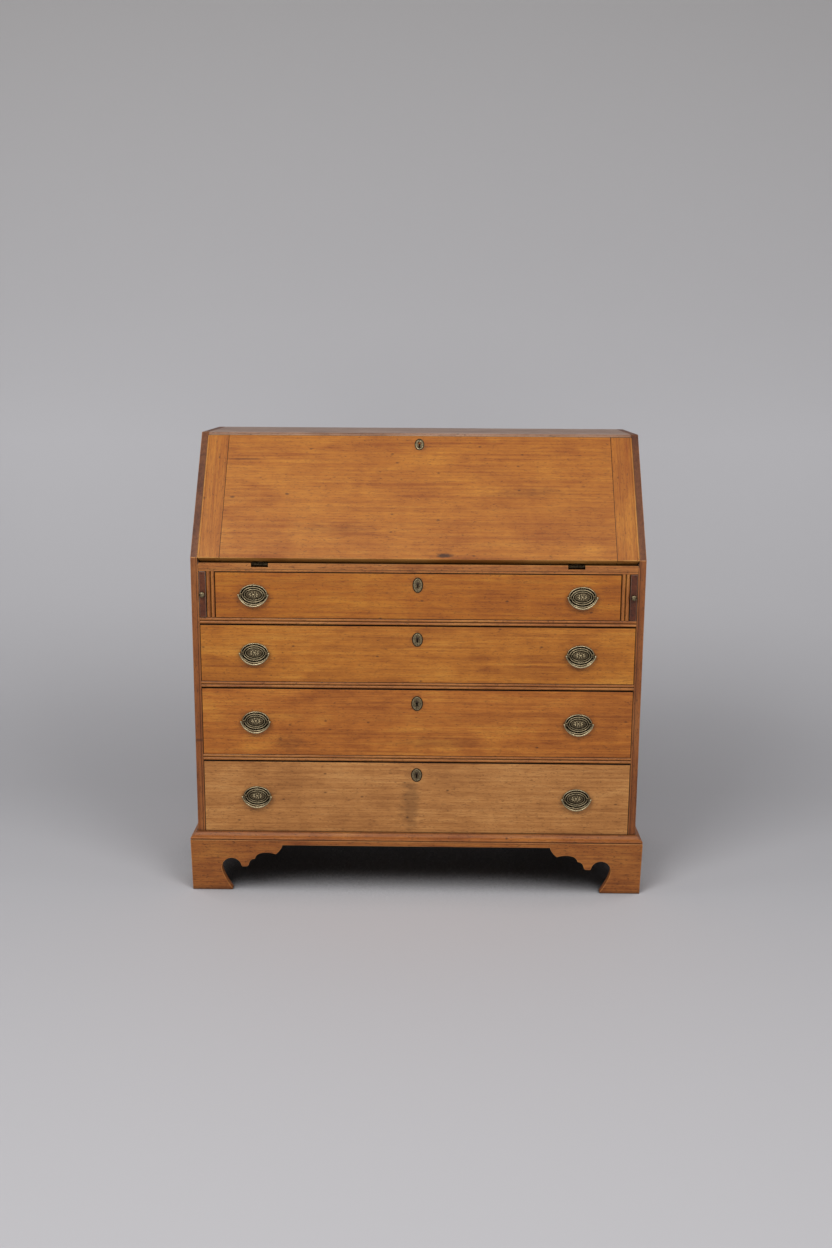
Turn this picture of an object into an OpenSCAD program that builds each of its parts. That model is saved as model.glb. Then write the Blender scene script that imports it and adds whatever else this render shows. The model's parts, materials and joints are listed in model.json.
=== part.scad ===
// Slant-front secretary desk: four long drawers, a sloping fall on two pull-out
// supports (lopers), and a fitted gallery behind the fall.
// X runs across, Y from front to back, Z up. The origin is on the floor, under the
// middle of the outline. All sizes are in millimetres.

/* [Carcase] */
// Width over the two sides
case_w = 1000; // [900:5:1200]
// Depth from the front edge of the sides to the back
case_d = 430; // [400:5:560]
// Height of the top above the writing surface
upper_h = 275; // [250:1:320]
// How far the top edge of the slope stands behind the front
slope_setback = 189; // [160:1:225]
// Thickness of the sides
side_t = 17; // [15:0.5:22]
// Thickness of the top board
top_t = 16; // [14:0.5:20]
// Thickness of the writing bed and the rail in front of it
bed_t = 18.5; // [16:0.5:22]
// Thickness of the bottom board
bottom_t = 17; // [15:0.5:22]
// Thickness of the back boards
back_t = 11; // [8:0.5:14]
// How far the back boards are let into the sides
back_rebate = 6; // [4:0.5:9]
// Number of back boards
back_count = 5; // [3:1:7]

/* [Base] */
// Height of the carcase above the floor
base_h = 120; // [100:1:150]
// How far the base stands out from the carcase
base_out = 15.5; // [12:0.5:20]
// Thickness of the shaped base boards
plinth_t = 18.5; // [16:0.5:24]
// Height of the straight strip between the feet
apron_h = 11.4; // [8:0.2:20]
// How much each foot narrows towards the floor
foot_taper = 3; // [0:0.5:5]
// Width of the square glue blocks behind the feet
block_w = 34; // [25:1:45]

/* [Drawers] */
// Height of the top drawer's opening
drawer_1_h = 103.5; // [95:0.5:125]
// Height of the second drawer's opening
drawer_2_h = 130; // [108:1:156]
// Height of the third drawer's opening
drawer_3_h = 155; // [129:1:186]
// Height of the bottom drawer's opening
drawer_4_h = 168; // [140:1:202]
// Thickness of the rails between the drawers
rail_t = 15; // [12:0.5:18]
// Depth of the rails from front to back
rail_d = 60; // [45:1:80]
// Width of the runners behind the rails
runner_w = 56; // [50:1:70]
// Thickness of the dust boards between the runners
dust_t = 6; // [4:0.5:9]
// Thickness of the drawer fronts
front_t = 20; // [18:0.5:24]
// Thickness of the drawer sides and backs
drawer_side_t = 9; // [7:0.5:12]
// Thickness of the drawer bottoms
drawer_bottom_t = 6; // [5:0.5:8]
// Room behind a closed drawer
drawer_behind = 23; // [10:1:120]
// Gap at each end of a drawer
drawer_end_gap = 1; // [0.6:0.1:1.5]
// Gap above a drawer front
drawer_top_gap = 2; // [1.2:0.1:3]
// Running gap under drawers and lopers
under_gap = 0.3; // [0.3:0.1:0.6]

/* [Lopers] */
// Width of the slot for a loper
loper_slot_w = 16; // [13:0.5:22]
// Width of the partition between a loper and the top drawer
partition_w = 19.5; // [15:0.5:24]
// Room behind a closed loper
loper_behind = 21; // [10:1:120]
// Gap beside a loper
loper_gap = 0.6; // [0.4:0.1:1]
// Gap above a loper
loper_top_gap = 0.8; // [0.5:0.1:1.5]

/* [Fall] */
// Thickness of the fall
fall_t = 19; // [16:0.5:20]
// Width of the end cleats, measured on the face
cleat_w = 48.5; // [35:0.5:70]
// How far the edge of the open fall stands in front of the rail
open_edge_gap = 1.95; // [1.5:0.05:3]
// How far the lip of the fall overlaps the sides
lip_w = 2; // [1.5:0.1:3]
// Thickness of the lip of the fall
lip_t = 9; // [7:0.5:11]
// Width of the top board's edge left showing above the fall
top_show = 8; // [5:0.5:12]
// Gap around the fall
fall_gap = 0.7; // [0.5:0.1:1]
// Thickness of the tongue between panel and cleat
tongue_t = 6; // [4:0.5:8]
// Length of the tongue between panel and cleat
tongue_w = 10; // [6:0.5:16]

/* [Hinges] */
// Distance of each hinge from the middle of the desk
hinge_x = 348; // [260:1:400]
// Width of a hinge
hinge_w = 36; // [28:1:45]
// Radius of the hinge barrel
barrel_r = 3.2; // [2.8:0.1:3.3]
// Radius of the hinge pin
pin_r = 1.5; // [1.2:0.1:1.8]
// Thickness of the hinge leaves
leaf_t = 2; // [1.5:0.1:2.2]
// Length of the hinge leaves
leaf_len = 32; // [24:1:40]
// Radial clearance of the pin in the moving knuckle
pin_clear = 0.05; // [0.02:0.01:0.1]

/* [Handles] */
// Distance of each handle from the middle of the desk
handle_x = 362.5; // [280:0.5:400]
// Length of the oval plate
plate_l = 62; // [50:1:75]
// Height of the oval plate
plate_h = 46; // [36:1:50]
// Thickness of the oval plate
plate_t = 1.6; // [1:0.1:2.5]
// Distance of each post from the middle of the plate
post_x = 27; // [20:0.5:30]
// Radius of the posts
post_r = 2.6; // [2.4:0.1:3.5]
// How far the bail's pivot stands in front of the drawer
pivot_out = 7; // [6.5:0.5:9]
// Radius of the bail's rod
bail_r = 1.8; // [1.5:0.1:2.5]
// Radius of the bail's pivot pins
bail_pin_r = 1.2; // [1:0.1:1.4]
// Radial clearance of the bail's pins in the posts
bail_clear = 0.06; // [0.03:0.01:0.1]
// How far the bail hangs below its pivot
bail_drop = 25; // [20:0.5:30]
// Radius of the handle bolts through the drawer front
bolt_r = 2; // [1.5:0.1:2.4]

/* [Locks] */
// Width of a lock case
lock_w = 60; // [45:1:75]
// Height of a lock case
lock_h = 42; // [38:1:50]
// Thickness of a lock case
lock_t = 11; // [10:0.5:13]
// Width of a lock bolt
lock_bolt_w = 18; // [12:1:24]
// Thickness of a lock bolt
lock_bolt_t = 5; // [4:0.5:6]
// Length of a lock bolt
lock_bolt_l = 14; // [11:0.5:16]
// How far a drawer's lock bolt travels
lock_throw = 8; // [6:0.5:9]
// How far the fall's lock bolt travels
fall_throw = 10; // [8:0.5:11]
// Gap around a lock bolt
lock_gap = 0.35; // [0.3:0.05:0.5]
// Radius of the round part of a keyhole
key_r = 2.4; // [2:0.1:3]
// Width of the slot of a keyhole
key_slot_w = 2.2; // [1.6:0.1:3]
// Length of the slot of a keyhole, from the middle of the round part
key_slot_l = 8; // [6:0.5:9]
// How far an escutcheon stands proud of the wood
escutcheon_t = 0.8; // [0.5:0.1:1.5]

/* [Gallery] */
// Distance of the gallery's front behind the top of the slope
gallery_set = 36; // [30:1:60]
// Thickness of the gallery's boards
gallery_t = 7; // [5:0.5:9]
// Height of the openings of the small drawers
small_drawer_h = 52; // [40:1:70]
// Number of pigeonholes
pigeonholes = 8; // [4:1:10]
// Gap around a small drawer
small_gap = 0.6; // [0.4:0.1:1]

/* [Hidden] */
DRAWERS = [1, 2, 3, 4];
SMALL_DRAWERS = [1, 2, 3];

$fn = 48;
eps = 0.01;    // how far a cut runs past a face
seam = 0.1;    // gap at a glued or clamped joint, which keeps its two pieces apart

// Heights, from the floor up
drawer_open_h = [drawer_1_h, drawer_2_h, drawer_3_h, drawer_4_h];
function open_z(n) =      // floor of the opening of drawer n
    n == 4 ? base_h + bottom_t : open_z(n + 1) + drawer_open_h[n] + rail_t;
loper_z = open_z(1);
rail_z = loper_z + drawer_1_h;
bed_z = rail_z + bed_t;

// The hinge pin's depth below the bed goes with the fall's thickness, so that the closed
// fall's inner edge stays just above the bed
pin_drop = fall_t * 4 / 19;

// Height of the foot of the slope above the bed. The open fall has to lie level with the
// bed with its edge just clear of the rail, which depends on the slope that this height
// itself sets, so it is worked out in a few rounds.
function foot_rise(rounds) =
    fall_t - 2 * pin_drop + (rounds == 0 ? 0 : open_edge_gap *
        tan(atan2(upper_h - foot_rise(rounds - 1), slope_setback) / 2));
slope_rise = foot_rise(6);
slope_z = bed_z + slope_rise;
case_h = bed_z + upper_h;

// Widths, from the outside in
side_in = case_w / 2 - side_t;
partition_out = side_in - loper_slot_w;
partition_in = partition_out - partition_w;
base_x = case_w / 2 + base_out;
back_y = case_d - back_t;
drawer_len = back_y - drawer_behind;
loper_len = back_y - loper_behind;
y_mid = (case_d - base_out) / 2;

// The slope, and the hinge pin that lets the fall lie level with the bed
slope_a = atan2(case_h - slope_z, slope_setback);
pin_in = fall_t - pin_drop;
pin_y = (pin_in - cos(slope_a) * (slope_rise + pin_drop)) / sin(slope_a);
pin_z = bed_z - pin_drop;
edge_past_pin = sin(slope_a) * (slope_rise + pin_drop) - cos(slope_a) * pin_y;
slope_len = norm([case_h - slope_z, slope_setback]);
fall_len = slope_len - top_show;
fall_half = side_in - fall_gap;
lip_half = side_in + lip_w - fall_gap / 2;
cleat_in = lip_half - cleat_w;
body_len = (case_h - top_t - slope_z + lip_t * cos(slope_a)) / sin(slope_a) - 3 * fall_gap;
rebate_t = lip_t + fall_gap / 2;

// Drawers and lopers
function drawer_half(n) = (n == 1 ? partition_in : side_in) - drawer_end_gap;
function front_z(n) = open_z(n) + under_gap;
function front_h(n) = drawer_open_h[n - 1] - under_gap - drawer_top_gap;
function front_top(n) = front_z(n) + front_h(n);
function handle_z(n) = open_z(n) + drawer_open_h[n - 1] / 2;
box_side_drop = 5;        // the drawer sides stand this much lower than the front
bottom_lift = 8;          // height of the drawer bottom above the lower edge
loper_w = loper_slot_w - 2 * loper_gap;
loper_h = rail_z - loper_z - under_gap - loper_top_gap;

// Locks: the keyhole's depth below the top edge, and the oval plates round it
key_drop = [25.5, 29.5, 31, 28.5];
escutcheon_w = [23, 24, 26, 25];
escutcheon_h = [34, 32, 34, 32];
lock_y = front_t - lock_t;
fall_key_drop = 22.4;
fall_escutcheon = [22, 30];
lock_bolt_back = 2.2;     // metal behind a lock bolt

// The bail is one round arc through both pivots and its lowest point
bail_x = post_x + post_r + 0.9 + bail_r;
bail_arc_r = (bail_x ^ 2 + bail_drop ^ 2) / (2 * bail_drop);
bail_end_a = asin((bail_arc_r - bail_drop) / bail_arc_r);

// Hinge knuckles: two on the bed's leaf, with the fall's one between them
knuckle_gap = 0.3;
knuckle_w = (hinge_w - 2 * knuckle_gap) / 3;
notch_r = barrel_r + 1.8;
arm_gap = 0.7;            // behind the closed fall's hinge arm, where it crosses the bed
arm_y = fall_t * sin(slope_a) + (fall_t * cos(slope_a) - slope_rise) / tan(slope_a);

// Gallery
gallery_half = side_in;
gallery_y = slope_setback + gallery_set;
gallery_d = back_y - gallery_y;
shelf_z = bed_z + small_drawer_h;
small_w = (2 * gallery_half - 4 * gallery_t) / 3;
hole_w = (2 * gallery_half - (pigeonholes + 1) * gallery_t) / pigeonholes;

// Shapes along the main directions ------------------------------------------

module placed() {
    translate([0, -y_mid, 0]) children();
}

// A flat shape drawn as (Y, Z), extruded from x0 to x1
module along_x(x0, x1) {
    translate([x0, 0, 0]) rotate([90, 0, 90]) linear_extrude(x1 - x0) children();
}

// A flat shape drawn as (X, Z), extruded from y0 to y1
module along_y(y0, y1) {
    translate([0, y1, 0]) rotate([90, 0, 0]) linear_extrude(y1 - y0) children();
}

// A block given by its limits
module block(x0, x1, y0, y1, z0, z1) {
    translate([x0, y0, z0]) cube([x1 - x0, y1 - y0, z1 - z0]);
}

// X across, Y up the slope from its foot, Z out of the fall's face
module on_slope() {
    translate([0, 0, slope_z]) rotate([slope_a, 0, 0]) children();
}

module both_sides() {
    children();
    mirror([1, 0, 0]) children();
}

function bezier(p0, p1, p2, n = 8) =
    [for (i = [0:n]) let (t = i / n)
        (1 - t) ^ 2 * p0 + 2 * t * (1 - t) * p1 + t ^ 2 * p2];

function arc(c, r, a0, a1, n = 12) =
    [for (i = [0:n]) let (a = a0 + (a1 - a0) * i / n) c + r * [cos(a), sin(a)]];

function ellipse(w, h, n = 48) =
    [for (i = [0:n - 1]) [w / 2 * cos(360 * i / n), h / 2 * sin(360 * i / n)]];

// Carcase ---------------------------------------------------------------------

module side_outline() {
    polygon([[0, base_h], [0, slope_z], [slope_setback, case_h], [case_d, case_h],
             [case_d, base_h]]);
}

bead_w = 4;               // bead on the inner front edge of each side
quirk_w = 1;              // groove beside a bead

module right_board() {
    difference() {
        along_x(side_in, case_w / 2) side_outline();
        block(side_in + bead_w, side_in + bead_w + quirk_w, -1, quirk_w, base_h - 1, slope_z);
        block(side_in - 1, side_in + back_rebate, back_y, case_d + 1, base_h - 1, case_h - top_t);
        on_slope()
            block(side_in - 1, side_in + lip_w, -slope_rise * 3, fall_len + fall_gap,
                  -rebate_t, 30);
    }
}

module left_side() {
    color("sienna") placed() mirror([1, 0, 0]) right_board();
}

module right_side() {
    color("sienna") placed() right_board();
}

module top_board() {
    under_y = slope_setback - top_t / tan(slope_a);
    color("sienna") placed() difference() {
        along_x(-side_in, side_in)
            polygon([[slope_setback, case_h], [case_d, case_h], [case_d, case_h - top_t],
                     [under_y, case_h - top_t]]);
        on_slope()
            block(-case_w / 2, case_w / 2, -slope_rise, fall_len + fall_gap, -rebate_t, 30);
        on_slope() bolt_space(body_len - 1, fall_throw + 3);
    }
}

module bottom_board() {
    color("sienna") placed()
        block(-side_in, side_in, 0, back_y, base_h, base_h + bottom_t);
}

module back_boards() {
    back_half = side_in + back_rebate;
    board_w = 2 * back_half / back_count;
    shrink = 0.8;         // open seam between two boards
    color("tan") placed()
        for (i = [0:back_count - 1]) let (x = i * board_w - back_half)
            block(x, x + board_w - (i < back_count - 1 ? shrink : 0),
                  back_y, case_d, base_h, case_h - top_t);
}

module desk_bed() {
    color("peru") placed() block(-side_in, side_in, rail_d, back_y, rail_z, bed_z);
}

bead_reach = 4.5;         // bead on the lower edge of the top rail

module top_rail() {
    color("peru") placed() difference() {
        block(-side_in, side_in, 0, rail_d, rail_z, bed_z);
        block(-side_in - 1, side_in + 1, -1, quirk_w, rail_z + bead_reach,
              rail_z + bead_reach + quirk_w);
        both_sides() translate([hinge_x, 0, 0]) hinge_notch();
        mortise(1);
    }
}

// The round-bottomed notch for a hinge barrel, with the sunk bed of its leaf behind it
module hinge_notch() {
    half = hinge_w / 2;
    along_x(-half - 1, half + 1) union() {
        hull() {
            translate([pin_y, pin_z]) circle(notch_r);
            translate([arm_y, bed_z]) square([2 * arm_gap, 1]);
        }
        translate([-1, pin_z - notch_r]) square([pin_y + 1, notch_r + pin_drop + 1]);
    }
    block(-half, half, pin_y, pin_y + leaf_len, bed_z - leaf_t, bed_z + 1);
}

// A rail's front edge is two round reeds side by side
module reeded(size, depth) {
    r = size / 4;
    translate([r, 0]) square([depth - r, size]);
    for (i = [0, 1]) translate([r, r + 2 * r * i]) circle(r);
}

module drawer_rails() {
    color("peru") placed()
        for (n = [2, 3, 4]) difference() {
            along_x(-side_in, side_in) translate([0, open_z(n - 1) - rail_t])
                reeded(rail_t, rail_d);
            mortise(n);
        }
}

// The space above drawer n that its lock bolt enters
module mortise(n) {
    z = open_z(n) + drawer_open_h[n - 1];
    half = lock_bolt_w / 2 + 1;
    y = lock_y + lock_bolt_back;
    block(-half, half, y - 1, y + lock_bolt_t + 1, z - 1, z + lock_throw + 1);
}

module drawer_runners() {
    color("tan") placed() both_sides()
        for (n = [1, 2, 3])
            block(side_in - runner_w, side_in, rail_d, back_y, open_z(n) - rail_t, open_z(n));
}

module dust_boards() {
    half = side_in - runner_w;
    color("tan") placed()
        for (n = [1, 2, 3])
            block(-half, half, rail_d, back_y, open_z(n) - (rail_t + dust_t) / 2,
                  open_z(n) - (rail_t - dust_t) / 2);
}

module partitions() {
    color("peru") placed() both_sides()
        translate([partition_out, 0, loper_z]) linear_extrude(drawer_1_h)
            rotate(90) reeded(partition_w, back_y);
}

// Base ------------------------------------------------------------------------

// Section of the base moulding, as (out from the carcase, up)
module moulding_section() {
    bead_r = 2.4;
    hollow = bezier([base_out - 2.6, 6.2], [base_out - 7.5, 7.4], [4.2, bottom_t - 2]);
    translate([base_out - bead_r, bead_r + 0.9]) circle(bead_r);
    polygon(concat([[0, 0], [base_out - 1.6, 0], [base_out - 1.6, 5.2]], hollow,
                   [[3.4, bottom_t - 2], [3.4, bottom_t], [0, bottom_t]]));
}

// Plan of the mitred strip along the front
module front_plan(t) {
    polygon([[-base_x, -base_out], [base_x, -base_out], [base_x - t, t - base_out],
             [t - base_x, t - base_out]]);
}

// Plan of the mitred strip along the right side
module side_plan(t) {
    polygon([[base_x, -base_out], [base_x, case_d], [base_x - t, case_d],
             [base_x - t, t - base_out]]);
}

module base_moulding() {
    color("sienna") placed() {
        intersection() {
            translate([0, 0, base_h]) along_x(-base_x, base_x) mirror([1, 0])
                moulding_section();
            translate([0, -seam, base_h]) linear_extrude(bottom_t) front_plan(base_out);
        }
        both_sides() intersection() {
            translate([case_w / 2, 0, base_h]) along_y(-base_out, case_d)
                moulding_section();
            translate([0, 0, base_h]) linear_extrude(bottom_t) side_plan(base_out);
        }
    }
}

// The scrolled inner outline of a bracket foot: u from the foot's outer edge, up in Z
scroll = concat(
    [[93, 0]],
    bezier([94.5, 2], [71.5, 36], [70.4, 53], 10),
    arc([93.2, 54], 22.8, 178, 12),
    [[117, 56.3], [127.5, 56.3]],
    bezier([132, 59.6], [133.5, 74.5], [146.5, 75]),
    bezier([147.5, 78], [152, 90], [173, 90]),
    bezier([173, 90], [185, 90], [194.5, 86.3], 4),
    bezier([194.5, 86.3], [205, 95], [209.5, 105], 5),
    [[209.5, base_h - apron_h]]);

module front_outline() {
    right = [for (p = scroll) [base_x - p.x, p.y]];
    left = [for (i = [len(scroll) - 1:-1:0]) [scroll[i].x - base_x, scroll[i].y]];
    polygon(concat([[-base_x, base_h], [foot_taper - base_x, 0]],
                   [for (i = [len(left) - 1:-1:0]) left[i]],
                   [for (i = [len(right) - 1:-1:0]) right[i]],
                   [[base_x - foot_taper, 0], [base_x, base_h]]));
}

module front_plinth() {
    color("peru") placed() intersection() {
        along_y(-base_out, plinth_t - base_out) front_outline();
        linear_extrude(base_h) front_plan(plinth_t);
    }
}

// The side board has the same scroll at its front foot and again at its back foot
module side_plinth_outline() {
    front = [for (p = scroll) [p.x - base_out, p.y]];
    back = [for (i = [len(scroll) - 1:-1:0]) [case_d - scroll[i].x, scroll[i].y]];
    polygon(concat([[-base_out, base_h], [-base_out, 0]], front, back,
                   [[case_d, 0], [case_d, base_h]]));
}

module side_plinths() {
    color("peru") placed() both_sides() intersection() {
        along_x(base_x - plinth_t - 5, base_x) side_plinth_outline();
        linear_extrude(base_h) side_plan(plinth_t);
        along_y(-base_out, case_d)
            polygon([[base_x - plinth_t, 0], [base_x - foot_taper, 0], [base_x, base_h],
                     [base_x - plinth_t, base_h]]);
    }
}

module rear_brackets() {
    foot_w = 90;
    color("tan") placed() both_sides()
        along_y(case_d - plinth_t, case_d)
            polygon([[base_x - plinth_t, 0], [base_x - plinth_t - foot_w * 0.6, 0],
                     [base_x - plinth_t - foot_w, base_h],
                     [base_x - plinth_t, base_h]]);
}

module foot_blocks() {
    x1 = base_x - plinth_t;
    color("tan") placed() both_sides()
        for (y = [plinth_t - base_out, case_d - plinth_t - block_w])
            block(x1 - block_w, x1, y, y + block_w, 0, base_h);
}

// Hinges ----------------------------------------------------------------------

// A round bar on the pin's axis: a knuckle, the pin itself or a bore for it
module on_pin(x0, x1, r) {
    translate([x0, pin_y, pin_z]) rotate([0, 90, 0]) cylinder(r = r, h = x1 - x0);
}

module bed_leaf() {
    half = hinge_w / 2;
    difference() {
        union() {
            both_sides() on_pin(half - knuckle_w, half, barrel_r);
            both_sides() block(half - knuckle_w, half, pin_y, pin_y + leaf_len,
                               bed_z - leaf_t, bed_z);
            block(-half, half, arm_y + arm_gap, pin_y + leaf_len, bed_z - leaf_t, bed_z);
        }
        on_pin(-half - 1, half + 1, pin_r);
    }
}

module bed_hinge_leaves() {
    color("darkgoldenrod") placed()
        for (side = [-1, 1]) translate([side * hinge_x, 0, 0]) bed_leaf();
}

module hinge_pins() {
    color("gray") placed()
        for (side = [-1, 1]) translate([side * hinge_x, 0, 0])
            on_pin(-hinge_w / 2, hinge_w / 2, pin_r);
}

// In the slope's frame the pin lies below the fall's edge, pin_in behind its face
module fall_leaf() {
    half = hinge_w / 2;
    arm_half = knuckle_w / 2;
    difference() {
        union() {
            on_pin(-arm_half, arm_half, barrel_r);
            on_slope() {
                block(-arm_half, arm_half, -edge_past_pin, leaf_len - edge_past_pin,
                      -fall_t, leaf_t - fall_t);
                block(-half, half, 0, leaf_len - edge_past_pin, -fall_t, leaf_t - fall_t);
            }
        }
        on_pin(-half, half, pin_r + pin_clear);
    }
}

module fall_hinge_leaves() {
    color("darkgoldenrod") placed()
        for (side = [-1, 1]) translate([side * hinge_x, 0, 0]) fall_leaf();
}

// Fall ------------------------------------------------------------------------

module fall_panel() {
    half = hinge_w / 2;
    color("chocolate") placed() difference() {
        on_slope() {
            block(-cleat_in, cleat_in, 0, body_len, -fall_t, 0);
            block(-cleat_in, cleat_in, 0, fall_len, -lip_t, 0);
            block(-cleat_in - tongue_w, cleat_in + tongue_w, 0, body_len,
                  -(fall_t + tongue_t) / 2, -(fall_t - tongue_t) / 2);
        }
        on_slope() {
            for (side = [-1, 1])
                block(side * hinge_x - half, side * hinge_x + half, -1,
                      leaf_len - edge_past_pin, -fall_t - 1, leaf_t - fall_t);
            block(-lock_w / 2, lock_w / 2, body_len - lock_h, body_len + 1, -fall_t - 1,
                  lock_t - fall_t);
            translate([0, fall_len - fall_key_drop, -fall_t - 1])
                linear_extrude(fall_t + 2) keyhole();
        }
    }
}

module fall_cleat() {
    difference() {
        on_slope() {
            block(cleat_in, fall_half, 0, body_len, -fall_t, 0);
            block(cleat_in, lip_half, 0, fall_len, -lip_t, 0);
        }
        on_slope() {
            block(cleat_in - 1, cleat_in + tongue_w, -1, body_len, -(fall_t + tongue_t) / 2,
                  -(fall_t - tongue_t) / 2);
            block(lip_half - bead_w - quirk_w, lip_half - bead_w, -1, fall_len + 1,
                  -quirk_w, 1);
        }
    }
}

module fall_left_cleat() {
    color("peru") placed() mirror([1, 0, 0]) fall_cleat();
}

module fall_right_cleat() {
    color("peru") placed() fall_cleat();
}

// Locks -----------------------------------------------------------------------

// A keyhole drawn with its round part at the origin and its slot below
module keyhole() {
    circle(key_r);
    translate([-key_slot_w / 2, -key_slot_l]) square([key_slot_w, key_slot_l]);
}

module escutcheon(w, h) {
    linear_extrude(escutcheon_t) difference() {
        polygon(ellipse(w, h));
        keyhole();
    }
}

// Lock case drawn with X across, Y towards the bolt's end and Z through its thickness.
// Its top edge is at y = 0 and its outer face at z = lock_t.
module lock_case(drop) {
    half = lock_bolt_w / 2 + lock_gap;
    z = lock_t - lock_bolt_back - lock_bolt_t;
    difference() {
        block(-lock_w / 2, lock_w / 2, -lock_h, 0, 0, lock_t);
        block(-half, half, -lock_bolt_l - lock_gap, 1, z - lock_gap,
              z + lock_bolt_t + lock_gap);
        translate([0, -drop, lock_t - lock_bolt_back]) linear_extrude(lock_t) keyhole();
    }
}

module lock_bolt() {
    z = lock_t - lock_bolt_back - lock_bolt_t;
    block(-lock_bolt_w / 2, lock_bolt_w / 2, -lock_bolt_l, 0, z, z + lock_bolt_t);
}

// The way of the fall's bolt, in the slope's frame, from y0 for a length l
module bolt_space(y0, l) {
    half = lock_bolt_w / 2 + 1;
    z = lock_t - fall_t - lock_bolt_back - lock_bolt_t;
    block(-half, half, y0, y0 + l, z - 1, z + lock_bolt_t + 1);
}

module fall_lock() {
    color("goldenrod") placed() on_slope() {
        translate([0, body_len, -fall_t]) lock_case(body_len - fall_len + fall_key_drop);
        translate([0, fall_len - fall_key_drop, 0])
            escutcheon(fall_escutcheon[0], fall_escutcheon[1]);
    }
}

module fall_lock_bolt() {
    color("gold") placed() on_slope() translate([0, body_len, -fall_t]) lock_bolt();
}

// Turns a lock drawn as above to stand in drawer n's front
module in_front(n) {
    translate([0, front_t, front_top(n)]) rotate([90, 0, 0]) children();
}

module drawer_lock(n) {
    drop = key_drop[n - 1];
    color("goldenrod") placed() in_front(n) {
        lock_case(drop);
        translate([0, -drop, front_t]) escutcheon(escutcheon_w[n - 1], escutcheon_h[n - 1]);
    }
}

module drawer_lock_bolt(n) {
    color("gold") placed() in_front(n) lock_bolt();
}

// Lopers ----------------------------------------------------------------------

knob_r = 6.3;
knob_shank_r = 1.5;
loper_shank_l = 14;
loper_x = partition_out + loper_slot_w / 2;
knob_z = loper_z + drawer_1_h / 2;

module knob_shank(l, clear = 0) {
    rotate([-90, 0, 0]) cylinder(r = knob_shank_r + clear, h = l);
}

module knob(r) {
    rotate([90, 0, 0]) rotate_extrude() {
        square([r * 0.62, 1.2]);
        square([r * 0.38, r * 0.9]);
        translate([0, r * 0.6]) square([r * 0.55, r * 0.9]);
        translate([r * 0.55, r * 1.05]) circle(r * 0.45);
    }
}

module right_loper_bar() {
    difference() {
        block(loper_x - loper_w / 2, loper_x + loper_w / 2, 0, loper_len,
              loper_z + under_gap, loper_z + under_gap + loper_h);
        translate([loper_x, -eps, knob_z]) knob_shank(loper_shank_l + 1, seam);
    }
}

module right_knob() {
    translate([loper_x, 0, knob_z]) {
        knob(knob_r);
        knob_shank(loper_shank_l);
    }
}

module left_loper() {
    color("maroon") placed() mirror([1, 0, 0]) right_loper_bar();
}

module right_loper() {
    color("maroon") placed() right_loper_bar();
}

module left_loper_knob() {
    color("goldenrod") placed() mirror([1, 0, 0]) right_knob();
}

module right_loper_knob() {
    color("goldenrod") placed() right_knob();
}

// Drawers ---------------------------------------------------------------------

module at_posts(n) {
    for (side = [-1, 1], end = [-1, 1])
        translate([side * handle_x + end * post_x, 0, handle_z(n)]) children();
}

module drawer_front(n) {
    half = drawer_half(n);
    top = front_top(n);
    color("chocolate") placed() difference() {
        block(-half, half, 0, front_t, front_z(n), top);
        block(-lock_w / 2, lock_w / 2, lock_y, front_t + 1, top - lock_h, top + 1);
        translate([0, 0, top - key_drop[n - 1]]) along_y(-1, front_t) keyhole();
        at_posts(n) rotate([-90, 0, 0]) translate([0, 0, -1])
            cylinder(r = bolt_r + seam, h = front_t + 2);
    }
}

module drawer_box(n) {
    half = drawer_half(n);
    z0 = front_z(n);
    z1 = front_top(n) - box_side_drop;
    inner = half - drawer_side_t;
    color("tan") placed() {
        both_sides() block(inner + seam, half, front_t, drawer_len, z0, z1);
        block(-inner, inner, drawer_len - drawer_side_t, drawer_len,
              z0 + bottom_lift + drawer_bottom_t + seam, z1);
        block(-inner, inner, front_t, drawer_len, z0 + bottom_lift,
              z0 + bottom_lift + drawer_bottom_t);
    }
}

module drawer_plates(n) {
    color("darkkhaki") placed() {
        for (side = [-1, 1]) translate([side * handle_x, 0, handle_z(n)])
            difference() {
                along_y(-plate_t, 0) polygon(ellipse(plate_l, plate_h));
                for (end = [-1, 1]) translate([end * post_x, -plate_t - 1, 0])
                    rotate([-90, 0, 0]) cylinder(r = bolt_r + seam, h = plate_t + 2);
            }
        at_posts(n) post();
    }
}

// A post with a cross bore for the bail's pin, its bolt and the nut inside the drawer
module post() {
    nut_h = 4;
    nut_r = 4.5;
    difference() {
        rotate([90, 0, 0]) translate([0, 0, plate_t + seam])
            cylinder(r = post_r, h = pivot_out + post_r - plate_t - seam);
        translate([-post_r - 1, -pivot_out, 0]) rotate([0, 90, 0])
            cylinder(r = bail_pin_r + bail_clear, h = 2 * post_r + 2);
    }
    translate([0, -plate_t - seam, 0]) rotate([-90, 0, 0])
        cylinder(r = bolt_r, h = plate_t + seam + front_t + nut_h);
    translate([0, front_t + seam, 0]) rotate([-90, 0, 0]) difference() {
        cylinder(r = nut_r, h = nut_h, $fn = 6);
        translate([0, 0, -1]) cylinder(r = bolt_r + seam, h = nut_h + 2);
    }
}

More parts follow.
